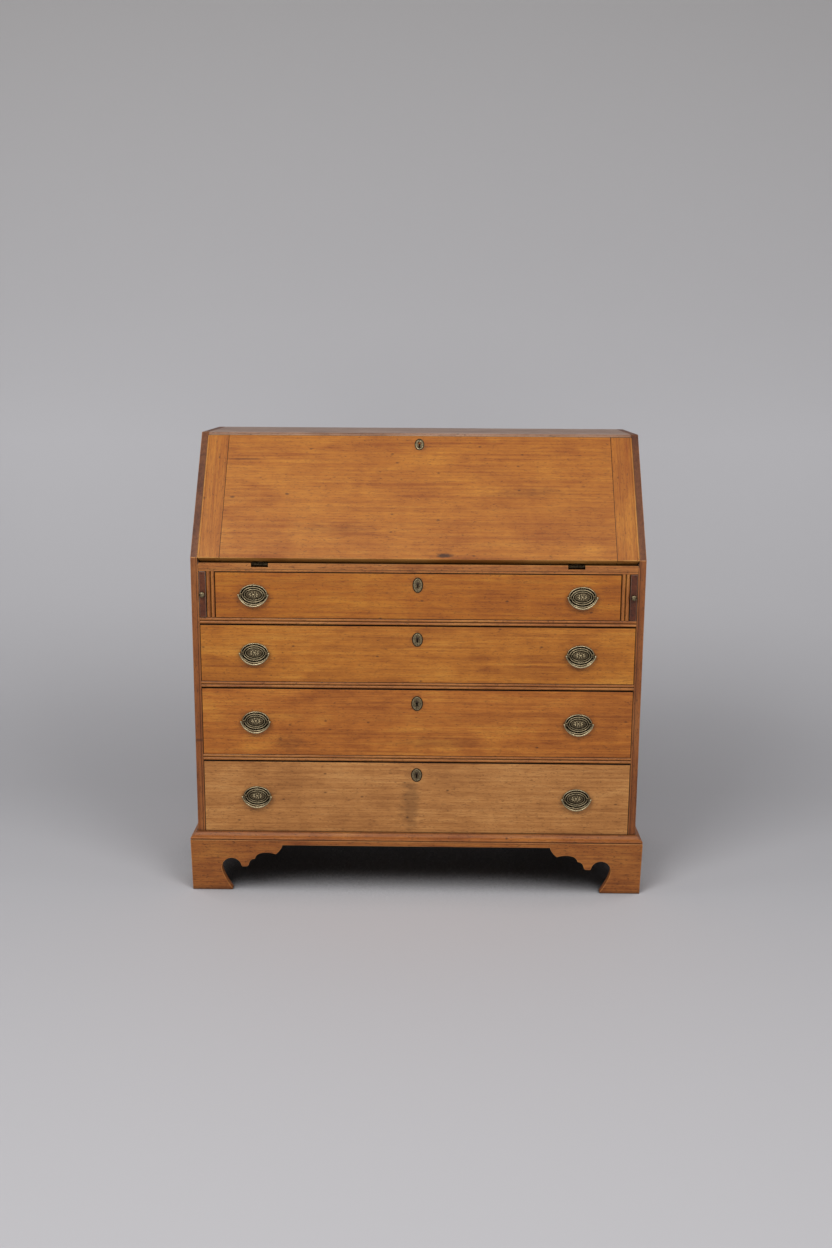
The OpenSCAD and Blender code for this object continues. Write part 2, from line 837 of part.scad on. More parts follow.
module drawer_bail(n, side) {
    pin_end = post_x - post_r - 0.6;
    eye_r = bail_r + 0.6;
    eye_w = 2 * bail_r + 0.4;
    color("darkgoldenrod") placed()
        translate([side * handle_x, -pivot_out, handle_z(n)]) {
            translate([0, 0, bail_arc_r - bail_drop]) rotate([90, 0, 0])
                rotate([0, 0, 180 + bail_end_a])
                    rotate_extrude(angle = 180 - 2 * bail_end_a)
                        translate([bail_arc_r, 0]) circle(bail_r, $fn = 24);
            both_sides() rotate([0, 90, 0]) {
                translate([0, 0, bail_x - eye_w / 2]) cylinder(r = eye_r, h = eye_w);
                translate([0, 0, pin_end]) cylinder(r = bail_pin_r, h = bail_x - pin_end);
            }
        }
}

// Gallery ---------------------------------------------------------------------

module gallery_case() {
    t = gallery_t;
    color("burlywood") placed() {
        for (i = [0:3]) let (x = -gallery_half + i * (small_w + t))
            block(x, x + t, gallery_y, back_y, bed_z, shelf_z - seam);
        block(-gallery_half, gallery_half, gallery_y, back_y, shelf_z, shelf_z + t);
        for (i = [0:pigeonholes]) let (x = -gallery_half + i * (hole_w + t))
            block(x, x + t, gallery_y, back_y, shelf_z + t + seam, case_h - top_t);
    }
}

module gallery_drawer(n) {
    half = small_w / 2 - small_gap;
    face_t = 8;
    wall_t = 5;
    floor_t = 4;
    side_drop = 3;
    small_knob_r = 5.5;
    len = gallery_d - 10;
    z1 = small_drawer_h - 2 * small_gap;
    x = (n - 2) * (small_w + gallery_t);
    color("burlywood") placed() translate([x, gallery_y, bed_z + small_gap]) {
        difference() {
            block(-half, half, 0, face_t, 0, z1);
            translate([0, -1, z1 / 2]) knob_shank(face_t + 2, seam);
        }
        both_sides() block(half - wall_t, half, face_t + seam, len, 0, z1 - side_drop);
        block(wall_t - half + seam, half - wall_t - seam, len - wall_t, len,
              floor_t + seam, z1 - side_drop);
        block(wall_t - half + seam, half - wall_t - seam, face_t + seam, len, 0, floor_t);
        translate([0, -seam, z1 / 2]) {
            knob(small_knob_r);
            knob_shank(face_t);
        }
    }
}

left_side();
right_side();
top_board();
bottom_board();
back_boards();
desk_bed();
top_rail();
drawer_rails();
drawer_runners();
dust_boards();
partitions();
base_moulding();
front_plinth();
side_plinths();
rear_brackets();
foot_blocks();
bed_hinge_leaves();
hinge_pins();
gallery_case();
fall_panel();
fall_left_cleat();
fall_right_cleat();
fall_lock();
fall_lock_bolt();
fall_hinge_leaves();
left_loper();
right_loper();
left_loper_knob();
right_loper_knob();
for (n = DRAWERS) {
    drawer_front(n);
    drawer_box(n);
    drawer_lock(n);
    drawer_lock_bolt(n);
    drawer_plates(n);
    drawer_bail(n, -1);
    drawer_bail(n, 1);
}
for (n = SMALL_DRAWERS)
    gallery_drawer(n);
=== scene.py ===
import itertools
import json
import math
import bpy
import bmesh
from mathutils import Matrix, Vector


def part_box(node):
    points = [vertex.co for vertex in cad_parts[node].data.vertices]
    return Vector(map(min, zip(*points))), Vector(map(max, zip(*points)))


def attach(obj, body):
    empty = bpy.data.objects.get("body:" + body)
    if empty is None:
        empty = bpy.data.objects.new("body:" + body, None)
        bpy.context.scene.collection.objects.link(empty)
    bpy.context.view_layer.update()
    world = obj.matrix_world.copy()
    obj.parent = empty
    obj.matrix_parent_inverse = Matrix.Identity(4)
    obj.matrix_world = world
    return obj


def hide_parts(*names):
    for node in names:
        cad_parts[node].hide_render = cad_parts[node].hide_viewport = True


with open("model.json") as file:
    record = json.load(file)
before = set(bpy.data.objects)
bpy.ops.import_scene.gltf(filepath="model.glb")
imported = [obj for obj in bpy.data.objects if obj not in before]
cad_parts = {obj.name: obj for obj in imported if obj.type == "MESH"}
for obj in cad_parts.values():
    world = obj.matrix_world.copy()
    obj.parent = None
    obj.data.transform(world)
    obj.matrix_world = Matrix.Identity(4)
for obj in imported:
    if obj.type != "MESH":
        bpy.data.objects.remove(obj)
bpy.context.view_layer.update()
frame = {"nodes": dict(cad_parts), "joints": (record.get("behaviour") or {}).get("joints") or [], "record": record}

scene = bpy.context.scene
mm = 0.001
print("frame loaded:", len(frame["nodes"]), "nodes")

# the fall opens until it is level, so its range gives the angle of the slope
fallJoint = next(j for j in frame["joints"] if j["name"] == "fall_hinge")
slopeAngle = math.radians(180 - fallJoint["range_deg"][1])
hingePin = Vector(fallJoint["pos_m"])
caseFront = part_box("right_side")[0].y   # front plane of the carcase


# the camera stands in front of the desk, a little higher than its top
camera = {
    "place": (0.0305, caseFront - 2.7708, 1.1903),    # metres
    "pitchDown": 11.55,    # degrees, as are the next two
    "yaw": 0.70,
    "roll": 0.34,
    "lens": 36.88,      # mm
    "sensor": 36,       # mm along the long side
    "farthest": 60,     # metres
}


def makeCamera(c):
    data = bpy.data.cameras.new("camera")
    data.sensor_width = c["sensor"]
    data.lens = c["lens"]
    data.clip_end = c["farthest"]
    pitch, yaw, roll = (math.radians(c[k]) for k in ("pitchDown", "yaw", "roll"))
    ahead = Vector((-math.sin(yaw) * math.cos(pitch), math.cos(yaw) * math.cos(pitch),
                    -math.sin(pitch)))
    level = Vector((math.cos(yaw), math.sin(yaw), 0))
    upright = level.cross(ahead)
    right = math.cos(roll) * level + math.sin(roll) * upright
    up = math.cos(roll) * upright - math.sin(roll) * level
    turn = Matrix((right, up, -ahead)).transposed().to_4x4()
    item = bpy.data.objects.new("camera", data)
    item.matrix_world = Matrix.Translation(c["place"]) @ turn
    scene.collection.objects.link(item)
    scene.camera = item


makeCamera(camera)


def linearColor(code):
    parts = [int(code[i:i + 2], 16) / 255 for i in (1, 3, 5)]
    return [p / 12.92 if p <= 0.04045 else ((p + 0.055) / 1.055) ** 2.4 for p in parts] + [1]


# inputs maps a socket's name or number to a value or to another node's output
def addNode(tree, kind, inputs=None, **settings):
    node = tree.nodes.new("ShaderNode" + kind)
    for key, value in settings.items():
        setattr(node, key, value)
    for key, value in (inputs or {}).items():
        socket = node.inputs[key]
        if isinstance(value, bpy.types.NodeSocket):
            tree.links.new(value, socket)
        else:
            socket.default_value = value
    return node


def newMaterial(name):
    material = bpy.data.materials.new(name)
    material.use_nodes = True
    tree = material.node_tree
    return material, tree, tree.nodes["Principled BSDF"]


waveBand = 0.314    # the bands of a wave texture lie this far apart at scale 1

# Colours are the sRGB hex values of the waxed surface. Every pattern size is in
# millimetres along, across and through the grain.
goldenLook = {
    "tones": (("#85460F", 0.37), ("#A8651F", 0.5), ("#BE802F", 0.63)),
    "dark": "#6B350C",         # year rings and fibres
    "pore": "#3E1E08",
    "worn": "#E3AC62",         # arrises, where the colour is rubbed through
    "wornShare": 0.75,
    "wornLeast": 0.35,         # share of that where they are rubbed least
    "jointDirtAndShade": "#1E0F05",        # old polish in the glued joints, and painted shade in corners and gaps
    # how dark the painted shade in corners gets, and how far it reaches
    "cornerShadeMost": 0.9,
    "cornerShadeReach": 12,          # mm
    "patterns": {
        "cloud": (170, 58, 60),
        "ripple": (44, 130, 70),
        "mottle": (24, 11, 16),
        "band": (260, 5.0, 6),
        "fibre": (22, 2.2, 2.2),     # real fibres are finer: as coarse as it takes to show
        "fleck": (6.5, 2.2, 2.2),    # pores, drawn coarser for the same reason
    },
    "shares": {"cloud": 0.42, "ripple": 0.12, "mottle": 0.1, "band": 0.36},
    "ring": 7.5,               # mm from one year ring to the next
    "ringAlong": 0.045,        # how little the rings change along the board
    "ringDrift": 13,
    "ringStrength": 0.13,
    "fibreStrength": 0.5,
    "fleckStrength": 0.6,
    "speckCell": (95, 52, 52),    # mm
    "speckShare": 0.22,        # of the cells hold a speck or a small knot
    "speckStrength": 0.7,
    "roughness": (0.44, 0.6),    # where the figure is pale and where it is dark
    "specular": 0.34,
    "wax": 0.05,
    "waxRoughness": 0.28,
    "bump": 0.22,
    "bumpDepth": 0.3,          # mm
    # this colour also paints the shade in a keyhole
    "stainAndShadeTone": "#2A160A",
    "stains": (),    # ovals on the front, in mm: x, z, half width, half height, strength
}
carcaseLook = dict(
    goldenLook,
    tones=(("#74390F", 0.36), ("#995922", 0.5), ("#B1712F", 0.65)),
    dark="#4E230A", pore="#2C1306", worn="#CB8D4E", ringStrength=0.16, fibreStrength=0.55,
    fleckStrength=0.8,
)


def woodMaterial(name, look):
    material, tree, shader = newMaterial(name)
    grain = addNode(tree, "Attribute", attribute_name="grain").outputs["Vector"]
    inMm = addNode(tree, "VectorMath", {0: grain, "Scale": 1000}, operation="SCALE").outputs[0]
    pattern = {}
    for key, size in look["patterns"].items():
        place = addNode(tree, "Mapping", {"Vector": inMm, "Scale": [1 / s for s in size]})
        pattern[key] = addNode(tree, "TexNoise", {
            "Vector": place.outputs[0], "Scale": 1, "Detail": 3, "Roughness": 0.55,
            "Distortion": 0.5}).outputs[0]
    tone = 0.0
    for key, share in look["shares"].items():
        tone = addNode(tree, "Math", {0: pattern[key], 1: share, 2: tone},
                       operation="MULTIPLY_ADD").outputs[0]
    ramp = addNode(tree, "ValToRGB", {0: tone})
    stops = ramp.color_ramp.elements
    stops.new(0.5)
    for stop, (code, place) in zip(stops, look["tones"]):
        stop.position = place
        stop.color = linearColor(code)
    color = ramp.outputs[0]

    # year rings round a pith some way behind the face, drifting along the board
    place = addNode(tree, "Mapping", {"Vector": inMm, "Scale": (look["ringAlong"], 1, 1)})
    rings = addNode(tree, "TexWave", {
        "Vector": place.outputs[0], "Scale": waveBand / look["ring"],
        "Distortion": look["ringDrift"], "Detail": 2, "Detail Scale": 0.3},
        wave_type="RINGS", rings_direction="X").outputs["Fac"]

    # small knots and specks, each in a cell of its own and most cells without one
    cellScale = [1 / s for s in look["speckCell"]]
    place = addNode(tree, "Mapping", {"Vector": inMm, "Scale": cellScale})
    cells = addNode(tree, "TexVoronoi", {"Vector": place.outputs[0], "Scale": 1},
                    voronoi_dimensions="2D")
    chosen = addNode(tree, "SeparateColor", {0: cells.outputs["Color"]}).outputs[0]
    near = addNode(tree, "MapRange", {0: cells.outputs["Distance"], 1: 0.05, 2: 0.015, 3: 0, 4: 1})
    few = addNode(tree, "Math", {0: chosen, 1: look["speckShare"]}, operation="LESS_THAN")
    specks = addNode(tree, "Math", {0: near.outputs[0], 1: few.outputs[0]},
                     operation="MULTIPLY").outputs[0]

    # stains, and the painted shade seen through a keyhole, are ovals with a ragged edge
    here = addNode(tree, "TexCoord").outputs["Object"]
    ragged = addNode(tree, "MapRange", {0: pattern["mottle"], 1: 0.3, 2: 0.7, 3: -0.3, 4: 0.3})
    stains = 0.0
    for x, z, across, down, most in look["stains"]:
        offset = addNode(tree, "VectorMath", {0: here, 1: (-x * mm, 0, -z * mm)},
                         operation="ADD")
        scaled = addNode(tree, "VectorMath",
                         {0: offset.outputs[0], 1: (1000 / across, 0, 1000 / down)},
                         operation="MULTIPLY")
        far = addNode(tree, "VectorMath", {0: scaled.outputs[0]}, operation="LENGTH")
        uneven = addNode(tree, "Math", {0: far.outputs["Value"], 1: ragged.outputs[0]})
        share = addNode(tree, "MapRange", {0: uneven.outputs[0], 1: 1, 2: 0.2, 3: 0, 4: most},
                        interpolation_type="SMOOTHSTEP")
        stains = addNode(tree, "Math", {0: share.outputs[0], 1: stains},
                         operation="MAXIMUM").outputs[0]

    # this attribute is 1 on a rubbed arris and -1 on the two lips of a glued joint; it also marks painted shade on
    # the faces in the drawer gaps and painted light on the fall's lower edge
    wearShadeAndLight = addNode(tree, "Attribute", attribute_name="wearShadeAndLight").outputs["Fac"]
    seam = addNode(tree, "Math", {0: wearShadeAndLight, 1: -1}, operation="MULTIPLY").outputs[0]
    patchy = addNode(tree, "MapRange", {0: pattern["cloud"], 1: 0.38, 2: 0.58,
                                        3: look["wornLeast"], 4: 1})
    # on the drawer fronts this mask carries painted shade, with the arrises and gap faces painted near black, and
    # on the fall's lower edge it carries painted light
    rubbed = addNode(tree, "Math", {0: wearShadeAndLight, 1: patchy.outputs[0]}, operation="MULTIPLY").outputs[0]
    layers = (    # pattern, where it starts to tell and tells most, its greatest share, colour
        (rings, 0.45, 1, look["ringStrength"], look["dark"]),
        (pattern["fibre"], 0.5, 0.74, look["fibreStrength"], look["dark"]),
        (pattern["fleck"], 0.57, 0.72, look["fleckStrength"], look["pore"]),
        (specks, 0, 1, look["speckStrength"], look["pore"]),
        (stains, 0, 1, 1, look["stainAndShadeTone"]),
        (rubbed, 0, 1, look["wornShare"], look["worn"]),
        (seam, 0, 1, 0.85, look["jointDirtAndShade"]),
    )
    for source, start, full, most, code in layers:
        share = addNode(tree, "MapRange", {0: source, 1: start, 2: full, 3: 0, 4: most})
        color = addNode(tree, "Mix", {0: share.outputs[0], 6: color, 7: linearColor(code)},
                        data_type="RGBA").outputs[2]
    # painted shade: the colour darkens in the corners, quirks and gaps, as far as ambient occlusion finds them
    # closed in
    openness = addNode(tree, "AmbientOcclusion", {"Distance": look["cornerShadeReach"] * mm},
                       samples=6).outputs["AO"]
    cornerShade = addNode(tree, "MapRange", {0: openness, 1: 0.9, 2: 0.35, 3: 0, 4: look["cornerShadeMost"]})
    color = addNode(tree, "Mix", {0: cornerShade.outputs[0], 6: color,
                                  7: linearColor(look["jointDirtAndShade"])}, data_type="RGBA").outputs[2]
    tree.links.new(color, shader.inputs["Base Color"])
    gloss = addNode(tree, "MapRange", {0: tone, 1: 0.35, 2: 0.65, 3: look["roughness"][1],
                                       4: look["roughness"][0]})
    tree.links.new(gloss.outputs[0], shader.inputs["Roughness"])
    shader.inputs["Specular IOR Level"].default_value = look["specular"]
    shader.inputs["Coat Weight"].default_value = look["wax"]
    shader.inputs["Coat Roughness"].default_value = look["waxRoughness"]
    height = addNode(tree, "Math", {0: pattern["fibre"], 1: 0.6, 2: pattern["fleck"]},
                     operation="MULTIPLY_ADD")
    relief = addNode(tree, "Bump", {"Strength": look["bump"], "Distance": look["bumpDepth"] * mm,
                                    "Height": height.outputs[0]})
    tree.links.new(relief.outputs[0], shader.inputs["Normal"])
    return material


# cabinet woods: old fruitwood and mahogany, planed and waxed, show broad soft figure
# under a satin skin; pine and oak inside are dry, with open pores and no wax
waxedFruitwood = woodMaterial("waxed fruitwood", carcaseLook)
railFruitwood = woodMaterial("waxed fruitwood of the rails", dict(
    carcaseLook, tones=(("#87491A", 0.36), ("#A8672D", 0.5), ("#BA7C3B", 0.65)), worn="#D29857"))
edgeFruitwood = woodMaterial("waxed fruitwood of the front edges", dict(
    carcaseLook, tones=(("#6B3610", 0.36), ("#884C1E", 0.5), ("#9C5F2C", 0.65)), worn="#C78B4F"))
# the top's grey tones are partly fading and dust and partly a painted grey reflection
topFruitwood = woodMaterial("faded fruitwood of the top", dict(
    carcaseLook, tones=(("#6F4A33", 0.36), ("#906A50", 0.5), ("#A58067", 0.65)), worn="#E2D2C2",
    wax=0.4))
sideFruitwood = woodMaterial("waxed fruitwood of the sides", dict(
    carcaseLook, tones=(("#45200B", 0.36), ("#643615", 0.5), ("#7B4820", 0.65)), worn="#B57A45"))
galleryFruitwood = woodMaterial("waxed fruitwood of the gallery", dict(
    goldenLook, tones=(("#6E3D14", 0.36), ("#935A22", 0.5), ("#A97134", 0.65))))
waxedMahogany = woodMaterial("waxed mahogany", dict(
    carcaseLook, tones=(("#3A1606", 0.36), ("#5C290B", 0.5), ("#703810", 0.65)),
    dark="#230D06", pore="#160803", worn="#A58C7C", ring=5))
dryPine = woodMaterial("dry pine", dict(
    goldenLook, tones=(("#8A6238", 0.36), ("#A67D4C", 0.5), ("#BA9563", 0.65)),
    dark="#7A4F28", pore="#5A3A1E", worn="#B99668", ring=9, ringStrength=0.5,
    roughness=(0.62, 0.8), wax=0, bump=0.4))
dryOak = woodMaterial("dry oak", dict(
    goldenLook, tones=(("#7C5C34", 0.36), ("#977347", 0.5), ("#AB895A", 0.65)),
    dark="#664626", pore="#4A3119", worn="#A98A5E", ring=4, ringStrength=0.25,
    fleckStrength=0.7, roughness=(0.6, 0.78), wax=0, bump=0.5))


# metals: cast and stamped brass goes brown-green in its hollows and is rubbed pale on
# its high parts, and old iron goes dull and nearly black
metalLooks = {
    "aged brass": {"hollow": "#120D08", "middle": "#564A37", "rubbed": "#BBAA86",
                   "roughness": (0.6, 0.32), "spotMm": 3.2},
    "dull iron": {"hollow": "#17130F", "middle": "#3A332C", "rubbed": "#6D665E",
                  "roughness": (0.7, 0.48), "spotMm": 2.4},
}


def metalMaterial(name, look):
    material, tree, shader = newMaterial(name)
    shader.inputs["Metallic"].default_value = 1
    here = addNode(tree, "TexCoord").outputs["Object"]
    spots = addNode(tree, "TexNoise", {"Vector": here, "Scale": 1000 / look["spotMm"],
                                       "Detail": 3, "Roughness": 0.6}).outputs[0]
    high = addNode(tree, "Attribute", attribute_name="relief").outputs["Fac"]
    uneven = addNode(tree, "MapRange", {0: spots, 1: 0.3, 2: 0.7, 3: -0.12, 4: 0.12})
    worn = addNode(tree, "Math", {0: high, 1: uneven.outputs[0]}, use_clamp=True).outputs[0]
    ramp = addNode(tree, "ValToRGB", {0: worn})
    stops = ramp.color_ramp.elements
    stops.new(0.5)
    for stop, key, place in zip(stops, ("hollow", "middle", "rubbed"), (0.05, 0.5, 0.95)):
        stop.position = place
        stop.color = linearColor(look[key])
    tree.links.new(ramp.outputs[0], shader.inputs["Base Color"])
    dull, bright = look["roughness"]
    gloss = addNode(tree, "MapRange", {0: worn, 1: 0, 2: 1, 3: dull, 4: bright})
    tree.links.new(gloss.outputs[0], shader.inputs["Roughness"])
    relief = addNode(tree, "Bump", {"Strength": 0.25, "Distance": 0.0002, "Height": spots})
    tree.links.new(relief.outputs[0], shader.inputs["Normal"])
    return material


agedBrass, dullIron = (metalMaterial(name, look) for name, look in metalLooks.items())
print("materials made")


bodies = frame["record"]["behaviour"]["bodies"]


def bodyOf(node):
    return next(body for body, members in bodies.items() if node in members)


def addPiece(bm, name, nodes, materials):
    mesh = bpy.data.meshes.new(name)
    bm.to_mesh(mesh)
    bm.free()
    for material in materials:
        mesh.materials.append(material)
    piece = bpy.data.objects.new(name, mesh)
    scene.collection.objects.link(piece)
    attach(piece, bodyOf(nodes[0]))
    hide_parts(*nodes)
    return piece


def cadCopy(node):
    bm = bmesh.new()
    bm.from_mesh(frame["nodes"][node].data)
    bmesh.ops.remove_doubles(bm, verts=bm.verts, dist=0.000001)
    bmesh.ops.dissolve_limit(bm, angle_limit=math.radians(0.3), verts=bm.verts,
                             edges=bm.edges)
    return bm


def looseParts(bm):
    parts, seen = [], set()
    for start in bm.verts:
        if start in seen:
            continue
        part, edge = [], [start]
        seen.add(start)
        while edge:
            vert = edge.pop()
            part.append(vert)
            for link in vert.link_edges:
                other = link.other_vert(vert)
                if other not in seen:
                    seen.add(other)
                    edge.append(other)
        parts.append(part)
    return parts


def boxOf(verts):
    low = Vector([min(v.co[i] for v in verts) for i in range(3)])
    high = Vector([max(v.co[i] for v in verts) for i in range(3)])
    return low, high


rounding = {
    "flatLeast": 0.02, "sharpLeast": 0.52,    # radians between two faces
    "flatRelief": 0.42, "edgeRelief": 0.8,    # how rubbed metal is on its faces and edges
}


def roundEdges(bm, width, narrow):
    wearShadeAndLight = bm.faces.layers.float.new("wearShadeAndLight")
    relief = bm.faces.layers.float.new("relief")
    for face in bm.faces:
        face.smooth = any(rounding["flatLeast"] < e.calc_face_angle(0) < rounding["sharpLeast"]
                          for e in face.edges)
        face[relief] = rounding["flatRelief"]
    thin = {f: f.calc_area() / max(e.calc_length() for e in f.edges) < narrow for f in bm.faces}
    sharp = [e for e in bm.edges if len(e.link_faces) == 2
             and e.calc_face_angle_signed(0) > rounding["sharpLeast"]
             and not any(thin[f] for f in e.link_faces)]
    made = bmesh.ops.bevel(bm, geom=sharp, offset=width, offset_type="OFFSET", affect="EDGES",
                           segments=2, profile=0.5, clamp_overlap=True, material=-1)
    for face in made["faces"]:
        face.smooth = True
        face[wearShadeAndLight] = 1
        face[relief] = rounding["edgeRelief"]


# each board keeps its own grain direction and comes from its own part of the log
log = {"apart": 1.37, "aside": 0.031, "fromPith": 0.07, "deeper": 0.011}    # metres
boardNumbers = itertools.count(1)

slopeUp = Vector((0, math.cos(slopeAngle), math.sin(slopeAngle)))
slopeOut = Vector((0, -math.sin(slopeAngle), math.cos(slopeAngle)))
acrossX, acrossY, upZ = Vector((1, 0, 0)), Vector((0, 1, 0)), Vector((0, 0, 1))


def grainAxes(node, part):
    if node == "fall_panel":
        return acrossX, slopeUp, slopeOut
    if node.endswith("cleat"):
        return slopeUp, acrossX, slopeOut
    low, high = boxOf(part)
    size = high - low
    order = sorted(range(3), key=lambda i: -size[i])
    axes = [(acrossX, acrossY, upZ)[i] for i in order]
    if node == "partitions":    # their front edges show upright grain
        axes.sort(key=lambda axis: axis != upZ)
    return axes


def layGrain(bm, node):
    grain = bm.verts.layers.float_vector.new("grain")
    for part in looseParts(bm):
        number = next(boardNumbers)
        low, high = boxOf(part)
        middle = (low + high) / 2
        along, across, through = grainAxes(node, part)
        shift = Vector((log["apart"] * number, log["aside"] * (number % 5 - 2),
                        log["fromPith"] + log["deeper"] * (number % 4)))
        for vert in part:
            place = vert.co - middle
            vert[grain] = Vector((place.dot(along), place.dot(across), place.dot(through))) + shift


squareOn = 0.95    # cosine past which a face counts as facing that way
# the dark of a glued joint, painted shade on the faces in the drawer gaps, and painted light on the fall's lower
# edge, which faces down
wearShadeAndLightOf = {"joint": -1, "jointReach": 0.003, "gap": 0.85, "fallEdgeLight": 0.6}


def wearShadeAndLightFaces(bm, amount, chosen):
    layer = bm.faces.layers.float["wearShadeAndLight"]
    for face in bm.faces:
        if chosen(face):
            face[layer] = amount


def makeBoards(name, node, material, width, narrow=0.002, joint=None):
    bm = cadCopy(node)
    roundEdges(bm, width, narrow)
    materials = [material]
    if joint:    # a glued joint at this distance from the middle is dark with old polish
        wearShadeAndLightFaces(bm, wearShadeAndLightOf["joint"],
                  lambda face: abs(abs(face.calc_center_median().x) - joint) < wearShadeAndLightOf["jointReach"])
    if node.startswith("drawer") and node.endswith("front"):    # painted shade on the faces inside the gaps
        wearShadeAndLightFaces(bm, wearShadeAndLightOf["gap"],
                  lambda face: max(abs(face.normal.x), face.normal.z) > squareOn)
    if node in ("fall_panel", "fall_left_cleat", "fall_right_cleat"):    # painted light: this lower edge faces down, and is painted paler
        wearShadeAndLightFaces(bm, wearShadeAndLightOf["fallEdgeLight"], lambda face: face.normal.dot(slopeUp) < -squareOn)
    if node in ("left_side", "right_side"):    # the upright front edge has a paler lipping
        materials.append(edgeFruitwood)
        for face in bm.faces:
            face.material_index = int(face.normal.y < -squareOn)
    layGrain(bm, node)
    return addPiece(bm, name, [node], materials)


# name, material, slot and rounding of the arrises in metres
carcase = {
    "left_side": ("leftSide", sideFruitwood, "carcase_fruitwood", 0.0012),
    "right_side": ("rightSide", sideFruitwood, "carcase_fruitwood", 0.0012),
    "top_board": ("topBoard", topFruitwood, "carcase_fruitwood", 0.0010),
    "bottom_board": ("bottomBoard", dryPine, "pine", 0.0006),
    "back_boards": ("backBoards", dryPine, "pine", 0.0015),
    "desk_bed": ("deskBed", waxedFruitwood, "carcase_fruitwood", 0.0005),
    "top_rail": ("topRail", railFruitwood, "carcase_fruitwood", 0.0009),
    "drawer_rails": ("drawerRails", railFruitwood, "carcase_fruitwood", 0.0006),
    "drawer_runners": ("drawerRunners", dryPine, "pine", 0.0006),
    "dust_boards": ("dustBoards", dryPine, "pine", 0.0005),
    "partitions": ("loperPartitions", railFruitwood, "carcase_fruitwood", 0.0007),
    "base_moulding": ("baseMoulding", waxedFruitwood, "carcase_fruitwood", 0.0005),
    "front_plinth": ("frontPlinth", waxedFruitwood, "carcase_fruitwood", 0.0010),
    "side_plinths": ("sidePlinths", waxedFruitwood, "carcase_fruitwood", 0.0010),
    "rear_brackets": ("rearBrackets", dryPine, "pine", 0.0010),
    "foot_blocks": ("footBlocks", dryPine, "pine", 0.0010),
    "left_loper": ("leftLoper", waxedMahogany, "red_mahogany", 0.0009),
    "right_loper": ("rightLoper", waxedMahogany, "red_mahogany", 0.0009),
    "gallery_case": ("galleryCase", galleryFruitwood, "gallery_fruitwood", 0.0007),
}
for node, (name, material, slot, width) in carcase.items():
    narrow = 0.0004 if "plinth" in node else 0.002    # a scroll's facets are narrow ones
    makeBoards(name, node, material, width, narrow)
print("carcase boards made")


pivots = {j["name"]: Vector(j["pos_m"]) for j in frame["joints"] if "pos_m" in j}

# the fall and each drawer front have their own tone and the marks that their wood carries, with painted shade in
# their keyholes
fall = {
    # little painted shade on the fall, so its lower edge, which faces down, keeps its colour
    "cornerShadeMost": 0.12,
    "tones": (("#8C490E", 0.36), ("#A56116", 0.5), ("#B97620", 0.65)),
    # the last oval is painted shade on the wood seen through the keyhole
    "stains": ((60, 776, 30, 6, 0.85), (-418, 893, 8, 4, 0.6), (-296, 900, 7, 4, 0.6),
               (44, 848, 7, 4, 0.6), (-392, 974, 62, 2.2, 0.5), (250, 905, 120, 16, 0.18),
               (-180, 828, 110, 12, 0.16), (0, 1002, 22, 14, 0.35), (0, 1001, 7, 10, 1)),
}
fronts = {    # keyDown is the drop from the top edge to the keyhole, in mm
    1: {"keyDown": 25.5, "stains": (),
        "tones": (("#85430A", 0.36), ("#A65E10", 0.5), ("#BA761C", 0.65))},
    2: {"keyDown": 29.5, "stains": (),
        "tones": (("#8F4D0E", 0.36), ("#B16B1C", 0.5), ("#C4832D", 0.65))},
    3: {"keyDown": 31, "tones": (("#8B480F", 0.36), ("#AF661F", 0.5), ("#C5822E", 0.65)),
        "stains": ((-308, 356, 7, 5, 0.45), (-290, 347, 60, 26, 0.2), (60, 352, 150, 24, 0.16))},
    4: {"keyDown": 28.5, "tones": (("#945E2C", 0.36), ("#B2783E", 0.5), ("#C78F51", 0.65)),
        "stains": ((-14, 206, 30, 100, 0.34), (-4, 206, 12, 92, 0.28), (-190, 236, 14, 4, 0.3))},
}
shadedFrontEdges = {"worn": "#0B0502", "wornShare": 1, "wornLeast": 1}    # painted shade: the arrises and the faces in the gaps are painted near black, not pale
# half width, half height and strength of the dirt round a fitting
handleGrime = (41, 32, 0.42)
pinsAbove = 2    # from the middle of that dirt up to the bail's pins
keyGrime = (19, 24, 0.4)
keyholeShade = (9, 15, 1)    # painted shade on the wood seen through the keyhole

goldenFruitwood = woodMaterial("waxed golden fruitwood of the fall", dict(goldenLook, **fall))
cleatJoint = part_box("fall_right_cleat")[0].x
makeBoards("fallPanel", "fall_panel", goldenFruitwood, 0.0011,
           joint=cleatJoint)
for side in ("left", "right"):
    makeBoards(side + "FallCleat", "fall_" + side + "_cleat",
               goldenFruitwood, 0.0010, joint=cleatJoint)

for number, front in fronts.items():
    marks = list(front["stains"])
    for side in ("left", "right"):
        at = pivots["drawer_%d_%s_bail_hinge" % (number, side)] / mm
        marks.append((at.x, at.z - pinsAbove, *handleGrime))
    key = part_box("drawer_%d_front" % number)[1].z / mm - front["keyDown"]
    marks.append((0, key, *keyGrime))
    marks.append((0, key, *keyholeShade))
    wood = woodMaterial("waxed golden fruitwood of drawer %d" % number,
                        dict(goldenLook, tones=front["tones"], stains=marks, **shadedFrontEdges))
    makeBoards("drawer%dFront" % number, "drawer_%d_front" % number,
               wood, 0.0022)
    makeBoards("drawer%dBox" % number, "drawer_%d_box" % number, dryOak, 0.0006)
print("fall and drawers made")


